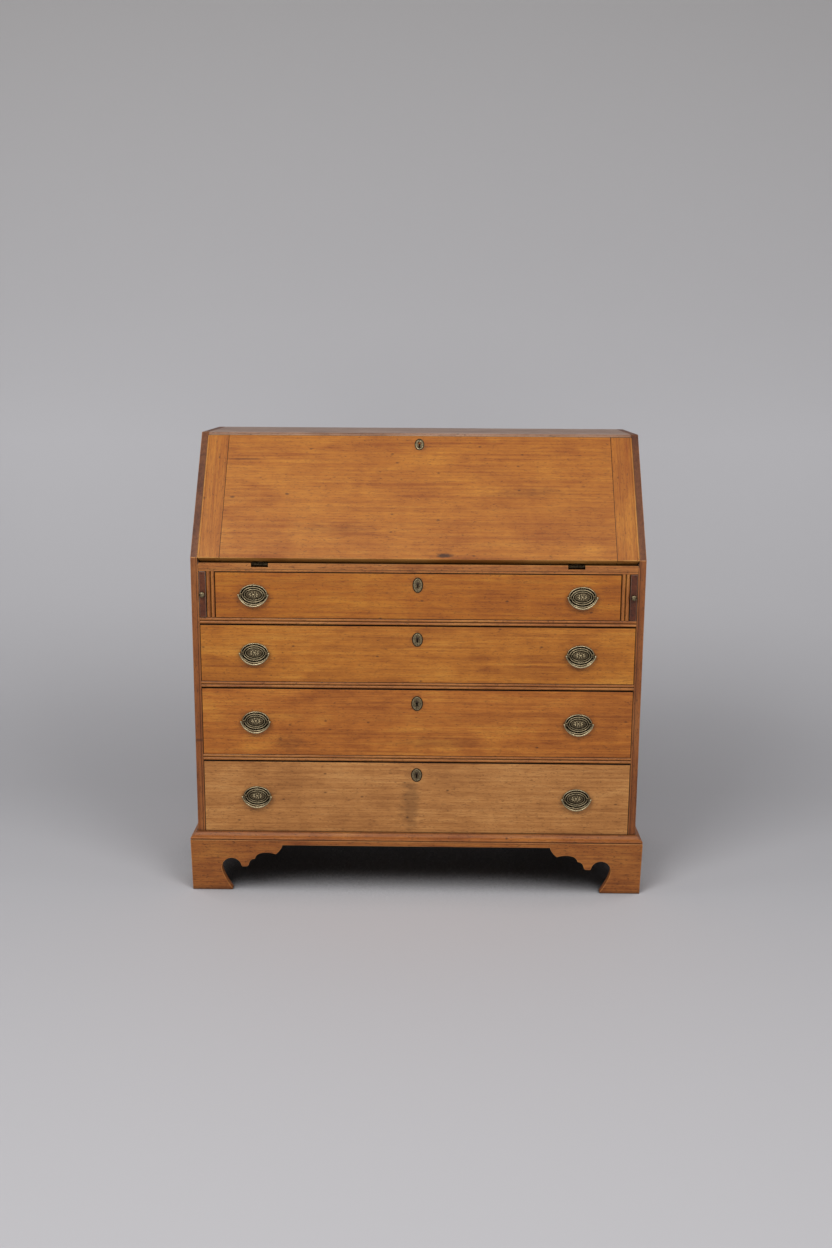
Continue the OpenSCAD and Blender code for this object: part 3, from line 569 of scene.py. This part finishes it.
# a handle is a pressed oval plate, two posts with their nuts, and a swinging bail, in mm
plate = {
    "halfWide": 31, "halfTall": 23,
    # inset from the rim, height off the wood, and how rubbed it is, from the rim inwards
    "rings": ((0, 0, 0.05), (0, 1.0, 0.36), (0.4, 1.7, 0.8), (1.1, 2.0, 1), (2.0, 1.7, 0.7),
              (2.5, 0.7, 0), (4.8, 0.7, 0), (5.3, 1.5, 0.5), (6.5, 1.9, 0.9),
              (7.8, 1.5, 0.5), (8.2, 0.7, 0), (9.9, 0.7, 0), (10.3, 1.4, 0.6),
              (11.0, 1.7, 0.95), (11.7, 1.4, 0.5), (12.1, 0.9, 0.05), (13.4, 0.9, 0.05),
              (13.8, 1.2, 0.4), (15.0, 1.4, 0.55), (19, 1.3, 0.45)),
    "petals": 10, "petalOut": (8.4, 4.6), "petalSize": (3.1, 1.0, 1.25), "petalRubbed": 0.85,
    "boss": (3.6, 1.7, 2.7), "bossRubbed": 0.75,
    "motifRise": 0.9,          # of the middles of petals and boss
    "postOut": 27,             # from the middle of the plate to each post
    "collar": ((0, 0.6), (3.5, 0.6), (3.6, 2.1), (3.1, 2.9), (2.3, 3.1), (0, 3.1)),
    "collarRubbed": 0.6, "fittingRubbed": 0.5,
    "ovalWider": 30,           # only the plain oval in the CAD is wider than this
}


def savedMesh(bm, name):    # plain metal joins a pressed oval, whose relief is on its verts
    bm.faces.layers.float.remove(bm.faces.layers.float["relief"])
    mesh = bpy.data.meshes.new(name)
    bm.to_mesh(mesh)
    bm.free()
    return mesh


def setRelief(verts, layer, value):
    for vert in verts:
        vert[layer] = value


def extrudeLoop(bm, edges):
    made = bmesh.ops.extrude_edge_only(bm, edges=edges)["geom"]
    verts = {g for g in made if isinstance(g, bmesh.types.BMVert)}
    edges = [e for e in made if isinstance(e, bmesh.types.BMEdge)
             and all(v in verts for v in e.verts)]
    # a dict and not a set, so that the order is the same in each run
    return list({v: None for e in edges for v in e.verts}), edges


def ovalRings(halfWide, halfTall, rings, segments):
    bm = bmesh.new()
    relief = bm.verts.layers.float.new("relief")
    bmesh.ops.create_circle(bm, cap_ends=True, radius=1, segments=segments,
                            matrix=Matrix.Rotation(math.pi / 2, 4, "X"))
    inset, height, rubbed = rings[0]
    wide, tall = (halfWide - inset) * mm, (halfTall - inset) * mm
    bmesh.ops.scale(bm, vec=(wide, 1, tall), verts=bm.verts)
    setRelief(bm.verts, relief, rubbed)
    edges = list(bm.edges)
    for nextInset, nextHeight, rubbed in rings[1:]:
        verts, edges = extrudeLoop(bm, edges)
        nextWide, nextTall = (halfWide - nextInset) * mm, (halfTall - nextInset) * mm
        bmesh.ops.scale(bm, vec=(nextWide / wide, 1, nextTall / tall), verts=verts)
        bmesh.ops.translate(bm, vec=(0, (height - nextHeight) * mm, 0), verts=verts)
        setRelief(verts, relief, rubbed)
        wide, tall, height = nextWide, nextTall, nextHeight
    return bm, relief, edges


def turned(bm, profile, turn, steps):
    before = set(bm.verts)
    verts = [bm.verts.new((radius * mm, 0, height * mm)) for radius, height in profile]
    edges = [bm.edges.new(pair) for pair in zip(verts, verts[1:])]
    bmesh.ops.spin(bm, geom=verts + edges, cent=(0, 0, 0), axis=(0, 0, 1),
                   angle=2 * math.pi, steps=steps, use_merge=True)
    made = [v for v in bm.verts if v not in before]
    bmesh.ops.remove_doubles(bm, verts=made, dist=0.000005)
    made = [v for v in bm.verts if v not in before]
    bmesh.ops.recalc_face_normals(bm, faces=list({f: None for v in made for f in v.link_faces}))
    bmesh.ops.transform(bm, matrix=turn, verts=made)
    return made


outward = Matrix.Rotation(math.pi / 2, 4, "X")    # turns a piece made upright to face out


def platePiece(number):
    node = "drawer_%d_plates" % number
    bm = cadCopy(node)
    flat = [v for part in looseParts(bm) for v in part
            if boxOf(part)[1].x - boxOf(part)[0].x > plate["ovalWider"] * mm]
    bmesh.ops.delete(bm, geom=flat, context="VERTS")
    roundEdges(bm, 0.0004, 0.0002)
    fittings = savedMesh(bm, "fittings")

    one, relief, rim = ovalRings(plate["halfWide"], plate["halfTall"], plate["rings"], 72)
    bmesh.ops.contextual_create(one, geom=rim)
    for i in range(plate["petals"]):
        turn = 2 * math.pi * i / plate["petals"]
        out = Vector((plate["petalOut"][0] * math.cos(turn), -plate["motifRise"],
                      plate["petalOut"][1] * math.sin(turn))) * mm
        matrix = (Matrix.Translation(out) @ Matrix.Rotation(-turn, 4, "Y")
                  @ Matrix.Diagonal(Vector(plate["petalSize"]) * mm).to_4x4())
        made = bmesh.ops.create_uvsphere(one, u_segments=10, v_segments=6, radius=1,
                                         matrix=matrix)["verts"]
        setRelief(made, relief, plate["petalRubbed"])
    made = bmesh.ops.create_uvsphere(
        one, u_segments=18, v_segments=10, radius=1,
        matrix=Matrix.Translation((0, -plate["motifRise"] * mm, 0))
        @ Matrix.Diagonal(Vector(plate["boss"]) * mm).to_4x4())["verts"]
    setRelief(made, relief, plate["bossRubbed"])
    for end in (-1, 1):
        at = Matrix.Translation((plate["postOut"] * end * mm, 0, 0))
        made = turned(one, plate["collar"], at @ outward, 24)
        setRelief(made, relief, plate["collarRubbed"])
    for face in one.faces:
        face.smooth = True
    oval = bpy.data.meshes.new("oval")
    one.to_mesh(oval)
    one.free()

    bm = bmesh.new()
    for side in ("left", "right"):
        at = pivots["drawer_%d_%s_bail_hinge" % (number, side)]
        before = set(bm.verts)
        bm.from_mesh(oval)
        new = [v for v in bm.verts if v not in before]
        bmesh.ops.translate(bm, vec=(at.x, caseFront, at.z), verts=new)
    level = bm.verts.layers.float["relief"]
    before = set(bm.verts)
    bm.from_mesh(fittings)
    setRelief([v for v in bm.verts if v not in before], level, plate["fittingRubbed"])
    return addPiece(bm, "drawer%dPlates" % number, [node], [agedBrass])


bail = {
    "radius": 1.8, "swell": 0.24,       # the bar is thicker at the middle of its bow
    "eyeRadius": 2.4, "eyeWide": 4.0, "eyeRound": 0.9,
    "pinRadius": 1.2, "pinInner": 23.8,
    "steps": 44, "segments": 14,
    "rubbedBack": 0.4, "rubbedFront": 0.5,    # the front has both
}


def bailPiece(number, side):
    node = "drawer_%d_%s_bail" % (number, side)
    pivot = pivots[node + "_hinge"]
    low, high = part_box(node)
    halfEye = bail["eyeWide"] / 2 * mm
    half = (high.x - low.x) / 2 - halfEye
    drop = pivot.z - low.z - bail["radius"] * mm
    bow = (half ** 2 + drop ** 2) / (2 * drop)
    centre = Vector((0, 0, bow - drop))
    startAngle = math.asin(centre.z / bow)
    bm = bmesh.new()
    relief = bm.verts.layers.float.new("relief")
    ring = bmesh.ops.create_circle(bm, radius=bail["radius"] * mm, segments=bail["segments"],
                                   matrix=Matrix.Translation((-bow, 0, 0)))["verts"]
    bmesh.ops.rotate(bm, cent=(0, 0, 0), verts=ring,
                     matrix=Matrix.Rotation(-startAngle, 3, "Y"))
    bmesh.ops.translate(bm, vec=centre, verts=ring)
    bmesh.ops.spin(bm, geom=bm.verts[:] + bm.edges[:], cent=centre, axis=(0, -1, 0),
                   angle=math.pi - 2 * startAngle, steps=bail["steps"], use_merge=False)
    for vert in bm.verts:
        around = vert.co - centre
        around.y = 0
        middle = centre + around.normalized() * bow
        share = max(0.0, -around.normalized().z)
        vert.co = middle + (vert.co - middle) * (1 + bail["swell"] * share ** 2)
    ends = [e for e in bm.edges if len(e.link_faces) == 1]
    bmesh.ops.holes_fill(bm, edges=ends, sides=0)
    for end in (-1, 1):
        for radius, inner, outer, soft in (
                (bail["eyeRadius"], half - halfEye, half + halfEye, bail["eyeRound"] * mm),
                (bail["pinRadius"], bail["pinInner"] * mm, half, 0)):
            matrix = (Matrix.Translation((end * (inner + outer) / 2, 0, 0))
                      @ Matrix.Rotation(math.pi / 2, 4, "Y"))
            made = bmesh.ops.create_cone(
                bm, cap_ends=True, segments=20, radius1=radius * mm, radius2=radius * mm,
                depth=outer - inner, matrix=matrix)["verts"]
            if soft:
                caps = [e for e in {e: None for v in made for e in v.link_edges}
                        if abs(e.verts[0].co.x - e.verts[1].co.x) < 0.000001]
                bmesh.ops.bevel(bm, geom=caps, offset=soft, offset_type="OFFSET",
                                affect="EDGES", segments=3, profile=0.5, clamp_overlap=True,
                                material=-1)
    bmesh.ops.recalc_face_normals(bm, faces=bm.faces)
    bm.normal_update()
    for vert in bm.verts:
        vert[relief] = bail["rubbedBack"] + bail["rubbedFront"] * max(0.0, -vert.normal.y)
    for face in bm.faces:
        face.smooth = True
    bmesh.ops.translate(bm, vec=pivot, verts=bm.verts)
    name = "drawer%d%sBail" % (number, side.capitalize())
    return addPiece(bm, name, [node], [agedBrass])


for number in fronts:
    platePiece(number)
    for side in ("left", "right"):
        bailPiece(number, side)
print("handles made")


# escutcheons with a pierced keyhole and two nails, over plain cases and bolts, in mm
escutcheon = {
    # inset from the rim, height off the wood, and how rubbed it is
    "rings": ((0, 0, 0), (0, 0.6, 0), (0.5, 1.0, 0.45), (1.1, 1.0, 0.4),
              (1.4, 0.6, 0.1), (2.0, 0.6, 0.1), (2.4, 0.8, 0.8), (3.6, 0.8, 0.6)),
    "nailInset": 4.2, "nail": (1.2, 0.7, 1.2), "nailRise": 0.5, "nailRubbed": 0.35,
    "caseRubbed": 0.4,
}
keyhole = {
    "radius": 2.9, "slotHalf": 1.9, "slotDown": 8.8,
    "slotFrom": 1.2,    # the round part's points this far to a side become the slot's corners
    "up": 2.4,          # from the middle of the escutcheon
    "rise": 0.6, "lip": 0.1, "depth": 2.0, "lipRubbed": 0.5,
}


def lockPiece(name, node, turn=None):
    bm = cadCopy(node)
    facing = slopeOut if turn else -acrossY
    oval = max(looseParts(bm), key=lambda part: max(v.co.dot(facing) for v in part))
    middle = sum((v.co for v in oval), Vector()) / len(oval)
    turn = turn or Matrix.Identity(4)
    back = turn.inverted()
    local = [back @ (v.co - middle) for v in oval]
    halfWide = max(abs(p.x) for p in local) / mm
    halfTall = (max(p.z for p in local) - min(p.z for p in local)) / 2 / mm
    up = (max(p.z for p in local) + min(p.z for p in local)) / 2
    base = max(p.y for p in local)     # the face that lies on the wood
    bmesh.ops.delete(bm, geom=oval, context="VERTS")
    roundEdges(bm, 0.0005, 0.001)
    caseMesh = savedMesh(bm, "case")

    bm, relief, rim = ovalRings(halfWide, halfTall, escutcheon["rings"], 48)
    bmesh.ops.delete(bm, geom=[f for f in bm.faces if len(f.verts) > 4], context="FACES_ONLY")
    hole = bmesh.ops.create_circle(bm, radius=keyhole["radius"] * mm, segments=48,
                                   matrix=outward)["verts"]
    for vert in hole:
        if vert.co.z < 0 and abs(vert.co.x) < keyhole["slotHalf"] * mm:
            side = max(-1, min(1, vert.co.x / (keyhole["slotFrom"] * mm)))
            vert.co.x = side * keyhole["slotHalf"] * mm
            vert.co.z = -keyhole["slotDown"] * mm
    bmesh.ops.translate(bm, vec=(0, -keyhole["rise"] * mm, keyhole["up"] * mm), verts=hole)
    holeEdges = list({e: None for v in hole for e in v.link_edges})
    bmesh.ops.bridge_loops(bm, edges=rim + holeEdges)
    setRelief(hole, relief, keyhole["lipRubbed"])
    for step in (keyhole["lip"], keyhole["depth"] - keyhole["lip"]):    # unrubbed past its lip
        deep, holeEdges = extrudeLoop(bm, holeEdges)
        bmesh.ops.translate(bm, vec=(0, step * mm, 0), verts=deep)
        setRelief(deep, relief, 0)
    bmesh.ops.bridge_loops(bm, edges=[e for e in bm.edges if len(e.link_faces) == 1])
    bmesh.ops.recalc_face_normals(bm, faces=bm.faces)
    for end in (-1, 1):
        out = (halfTall - escutcheon["nailInset"]) * mm
        at = Matrix.Translation((0, -escutcheon["nailRise"] * mm, end * out))
        matrix = at @ Matrix.Diagonal(Vector(escutcheon["nail"]) * mm).to_4x4()
        made = bmesh.ops.create_uvsphere(bm, u_segments=12, v_segments=8, radius=1,
                                         matrix=matrix)["verts"]
        setRelief(made, relief, escutcheon["nailRubbed"])
    for face in bm.faces:
        face.smooth = len(face.verts) == 4 and face.calc_area() < 0.000004
    bmesh.ops.transform(bm, verts=bm.verts, matrix=Matrix.Translation(middle) @ turn
                        @ Matrix.Translation((0, base, up)))
    level = bm.verts.layers.float["relief"]
    before = set(bm.verts)
    bm.from_mesh(caseMesh)
    setRelief([v for v in bm.verts if v not in before], level, escutcheon["caseRubbed"])
    return addPiece(bm, name, [node], [agedBrass])


def plainMetal(name, node, material, width=0.0004):
    bm = cadCopy(node)
    roundEdges(bm, width, 0.0008)
    return addPiece(bm, name, [node], [material])


for number in fronts:
    lockPiece("drawer%dLock" % number, "drawer_%d_lock" % number)
    plainMetal("drawer%dLockBolt" % number, "drawer_%d_lock_bolt" % number,
               agedBrass)
lockPiece("fallLock", "fall_lock", Matrix.Rotation(slopeAngle - math.pi / 2, 4, "X"))
plainMetal("fallLockBolt", "fall_lock_bolt", agedBrass)
print("locks made")


# turned knobs of the lopers and the small drawers, in mm
knob = {
    "shankRadius": 1.5,
    # radius, and height off the wood
    "head": ((1.5, 0), (4.4, 0), (4.4, 0.8), (3.4, 1.5), (2.4, 2.4), (2.3, 3.6), (3.4, 4.4),
             (5.3, 5.0), (6.2, 6.0), (6.3, 6.9), (5.7, 8.1), (4.2, 9.0), (2.2, 9.5), (0, 9.6)),
    "loperShank": 14, "loperRubbed": 0.25, "loperRubbedRise": 40,    # the last is per metre
    "drawerShank": 8, "drawerSize": 0.82, "drawerRubbed": 0.7, "drawerClear": 0.1,
}


def addKnob(bm, at, size, shank):
    profile = [(0, -shank), (knob["shankRadius"], -shank)]
    profile += [(radius * size, height * size) for radius, height in knob["head"]]
    made = turned(bm, profile, Matrix.Translation(at) @ outward, 28)
    for face in {f: None for v in made for f in v.link_faces}:
        face.smooth = True
    return made


for side in ("left", "right"):
    node = side + "_loper_knob"
    low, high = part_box(node)
    bm = bmesh.new()
    relief = bm.verts.layers.float.new("relief")
    at = Vector(((low.x + high.x) / 2, caseFront, (low.z + high.z) / 2))
    for vert in addKnob(bm, at, 1, knob["loperShank"]):
        rise = max(0.0, caseFront - vert.co.y)
        vert[relief] = knob["loperRubbed"] + knob["loperRubbedRise"] * rise
    addPiece(bm, side + "LoperKnob", [node], [agedBrass])

for number in (1, 2, 3):
    node = "gallery_drawer_%d" % number
    bm = cadCopy(node)
    plainKnob = min(looseParts(bm), key=lambda part: boxOf(part)[0].y)
    low, high = boxOf(plainKnob)
    bmesh.ops.delete(bm, geom=plainKnob, context="VERTS")
    front = min(boxOf(part)[0].y for part in looseParts(bm))
    at = Vector(((low.x + high.x) / 2, front - knob["drawerClear"] * mm, (low.z + high.z) / 2))
    roundEdges(bm, 0.0006, 0.0015)
    layGrain(bm, node)
    wood = set(bm.faces)
    addKnob(bm, at, knob["drawerSize"], knob["drawerShank"])
    relief = bm.faces.layers.float["relief"]
    for face in bm.faces:
        if face not in wood:
            face.material_index = 1
            face[relief] = knob["drawerRubbed"]
    addPiece(bm, "galleryDrawer%d" % number, [node],
             [galleryFruitwood, agedBrass])
print("knobs made")


# hinges of the fall, with slotted screws in their leaves, in mm
screw = {"radius": 2.7, "rise": 0.25, "slotHalf": 0.4}
leaf = {
    "halfWide": 18,
    # the three screws: along the hinge pin, and away from it
    "bedScrews": ((-11, 13), (11, 13), (0, 24)),
    "fallScrews": ((-11, 16), (11, 16), (0, 26)),
    "dulled": 0.4, "headRubbed": 0.2,    # brown and never polished
}


def addScrew(bm, matrix):
    made = bmesh.ops.create_circle(bm, cap_ends=True, radius=screw["radius"] * mm, segments=20,
                                   matrix=matrix)["verts"]
    faces = list({f: None for v in made for f in v.link_faces})
    for side in (-1, 1):
        plane = matrix @ Vector((side * screw["slotHalf"] * mm, 0, 0))
        normal = (matrix.to_3x3() @ Vector((1, 0, 0))).normalized()
        geom = list({g: None for f in faces for g in [f, *f.edges, *f.verts]})
        cut = bmesh.ops.bisect_plane(bm, geom=geom, plane_co=plane, plane_no=normal)["geom"]
        faces = [g for g in cut if isinstance(g, bmesh.types.BMFace)]
    back = matrix.inverted()
    slot = [f for f in faces if abs((back @ f.calc_center_median()).x) < screw["slotHalf"] * mm]
    halves = [f for f in faces if f not in slot]
    bmesh.ops.delete(bm, geom=slot, context="FACES")
    up = (matrix.to_3x3() @ Vector((0, 0, 1))).normalized() * screw["rise"] * mm
    tops = bmesh.ops.extrude_face_region(bm, geom=halves, use_keep_orig=True)["geom"]
    bmesh.ops.translate(bm, vec=up, verts=[g for g in tops if isinstance(g, bmesh.types.BMVert)])


def hingeLeaves(name, node, places):
    bm = cadCopy(node)
    roundEdges(bm, 0.0003, 0.0004)
    before = set(bm.faces)
    for matrix in places:
        addScrew(bm, matrix)
    heads = [f for f in bm.faces if f not in before]
    bmesh.ops.recalc_face_normals(bm, faces=heads)
    relief = bm.faces.layers.float["relief"]
    for face in bm.faces:
        face[relief] *= leaf["dulled"]
    for face in heads:
        face[relief] = leaf["headRubbed"]
    return addPiece(bm, name, [node], [agedBrass])


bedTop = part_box("desk_bed")[1].z
bedPlaces, fallPlaces = [], []
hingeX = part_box("bed_hinge_leaves")[1].x - leaf["halfWide"] * mm
faceTurn = Matrix.Rotation(slopeAngle + math.pi, 4, "X")
for side in (-1, 1):
    for along, away in leaf["bedScrews"]:
        at = (side * hingeX + along * mm, hingePin.y + away * mm, bedTop)
        bedPlaces.append(Matrix.Translation(at))
    for along, away in leaf["fallScrews"]:
        at = (Vector((side * hingeX + along * mm, hingePin.y, hingePin.z))
              + slopeUp * away * mm - slopeOut * (bedTop - hingePin.z))
        fallPlaces.append(Matrix.Translation(at) @ faceTurn)
hingeLeaves("bedHingeLeaves", "bed_hinge_leaves", bedPlaces)
hingeLeaves("fallHingeLeaves", "fall_hinge_leaves", fallPlaces)
plainMetal("hingePins", "hinge_pins", dullIron, 0.0003)
print("hinges made")


# a painted sweep under and behind the desk, in metres
backdrop = {
    "wide": 14, "front": -6, "bend": 0.75, "radius": 1.5, "top": 5.5, "steps": 48,
    # colour at each value of Y plus Z, which grows all the way up the sweep; the tones are painted light and
    # shade, lighter and darker as the light falls along the sweep
    "tones": ((-1.4, "#C0BFC2"), (0.5, "#BBBABD"), (3, "#CCCBCE"), (5, "#B0AEAE")),
    "roughness": 0.9, "specular": 0.2,
    "shadowReach": 0.3, "lightLeft": 0.08,    # of the paint's own colour in it
    "shadowTone": (0.004, 0.003, 0.003, 1),
}


def makeBackdrop(b):
    bm = bmesh.new()
    bmesh.ops.create_grid(bm, x_segments=1, y_segments=b["steps"], size=1)
    flat = b["bend"] - b["front"]
    curve = b["radius"] * math.pi / 2
    length = flat + curve + b["top"] - b["radius"]
    for vert in bm.verts:
        run = (vert.co.y + 1) / 2 * length
        vert.co.x *= b["wide"] / 2
        turn = min(max(run - flat, 0), curve) / b["radius"]
        vert.co.y = b["front"] + min(run, flat) + b["radius"] * math.sin(turn)
        vert.co.z = b["radius"] * (1 - math.cos(turn)) + max(run - flat - curve, 0)
    for face in bm.faces:
        face.smooth = True
    mesh = bpy.data.meshes.new("backdrop")
    bm.to_mesh(mesh)
    bm.free()
    material, tree, shader = newMaterial("painted studio sweep")
    here = addNode(tree, "TexCoord").outputs["Object"]
    axes = addNode(tree, "SeparateXYZ", {0: here}).outputs
    run = addNode(tree, "Math", {0: axes["Y"], 1: axes["Z"]}).outputs[0]
    first, last = b["tones"][0][0], b["tones"][-1][0]
    share = addNode(tree, "MapRange", {0: run, 1: first, 2: last})
    ramp = addNode(tree, "ValToRGB", {0: share.outputs[0]})
    stops = ramp.color_ramp.elements
    while len(stops) < len(b["tones"]):
        stops.new(0.5)
    for stop, (place, code) in zip(stops, b["tones"]):
        stop.position = (place - first) / (last - first)
        stop.color = linearColor(code)
    # painted shadow: the floor is painted dark where the object stands close over it
    openness = addNode(tree, "AmbientOcclusion", {"Distance": b["shadowReach"]},
                       samples=8).outputs["AO"]
    lit = addNode(tree, "MapRange", {0: openness, 1: 0.3, 2: 0.6, 3: b["lightLeft"],
                                     4: 1}).outputs[0]
    color = addNode(tree, "Mix", {0: lit, 6: b["shadowTone"], 7: ramp.outputs[0]},
                    data_type="RGBA").outputs[2]
    tree.links.new(color, shader.inputs["Base Color"])
    shader.inputs["Roughness"].default_value = b["roughness"]
    shader.inputs["Specular IOR Level"].default_value = b["specular"]
    mesh.materials.append(material)
    item = bpy.data.objects.new("backdrop", mesh)
    scene.collection.objects.link(item)


makeBackdrop(backdrop)

# soft studio light: place, aim, size and watts of each softbox
softboxes = {
    "overhead": ((0, -1.9, 3.7), (0, -0.1, 0.4), (3.0, 1.2), 24),
    "keyLeft": ((-1.7, -2.7, 3.3), (0, -0.1, 0.5), (1.8, 1.5), 76),
    "fillRight": ((2.0, -2.7, 3.2), (0, -0.1, 0.5), (1.8, 1.5), 58),
    "lowFront": ((0, -4.4, 0.8), (0, 0, 0.7), (2.6, 0.8), 26),
    "wallLeft": ((-3.2, -0.4, 2.6), (0.4, 2.6, 1.6), (1.5, 1.5), 20),
    "wallRight": ((3.4, -0.4, 2.6), (-0.4, 2.6, 1.6), (1.5, 1.5), 15),
}
for name, (place, aim, size, watts) in softboxes.items():
    light = bpy.data.lights.new(name, "AREA")
    light.shape = "RECTANGLE"
    light.size, light.size_y = size
    light.energy = watts
    item = bpy.data.objects.new(name, light)
    item.location = place
    item.rotation_euler = (Vector(aim) - Vector(place)).to_track_quat("-Z", "Y").to_euler()
    scene.collection.objects.link(item)

world = bpy.data.worlds.new("studio")
scene.world = world
world.use_nodes = True
ambient = world.node_tree.nodes["Background"]
ambient.inputs["Color"].default_value = linearColor("#D6D6DC")
ambient.inputs["Strength"].default_value = 0.12
scene.view_settings.view_transform = "Standard"
print("stage and lights made")
